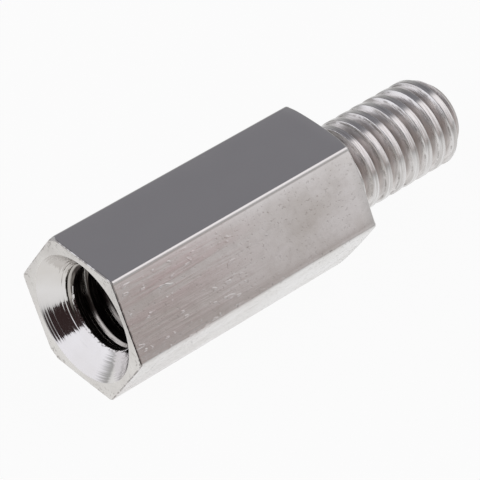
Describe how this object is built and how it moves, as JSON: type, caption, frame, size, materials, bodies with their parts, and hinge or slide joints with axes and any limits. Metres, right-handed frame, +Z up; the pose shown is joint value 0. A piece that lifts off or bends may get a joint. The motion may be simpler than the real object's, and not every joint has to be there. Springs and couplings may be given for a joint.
{
  "type": "hex standoff",
  "caption": "Male-female hexagonal standoff in plated metal: a hex body with a countersunk tapped hole in one end and a threaded stud on the other, to space and join parts.",
  "frame": {"origin": "on the axis of the stud and the tapped hole, in the plane of the shoulder that the stud stands on", "axes": "+X along the axis toward the stud's point, -X toward the tapped end, +Z up, square to the flat that the bar lies on"},
  "size_m": [0.0201, 0.0072, 0.0064],
  "materials": {
    "nickel_plate": "bright nickel plating over turned brass, slightly scuffed, with faint draw lines along the flats"
  },
  "bodies": {
    "root": {"hex_standoff": "nickel_plate"}
  },
  "joints": []
}
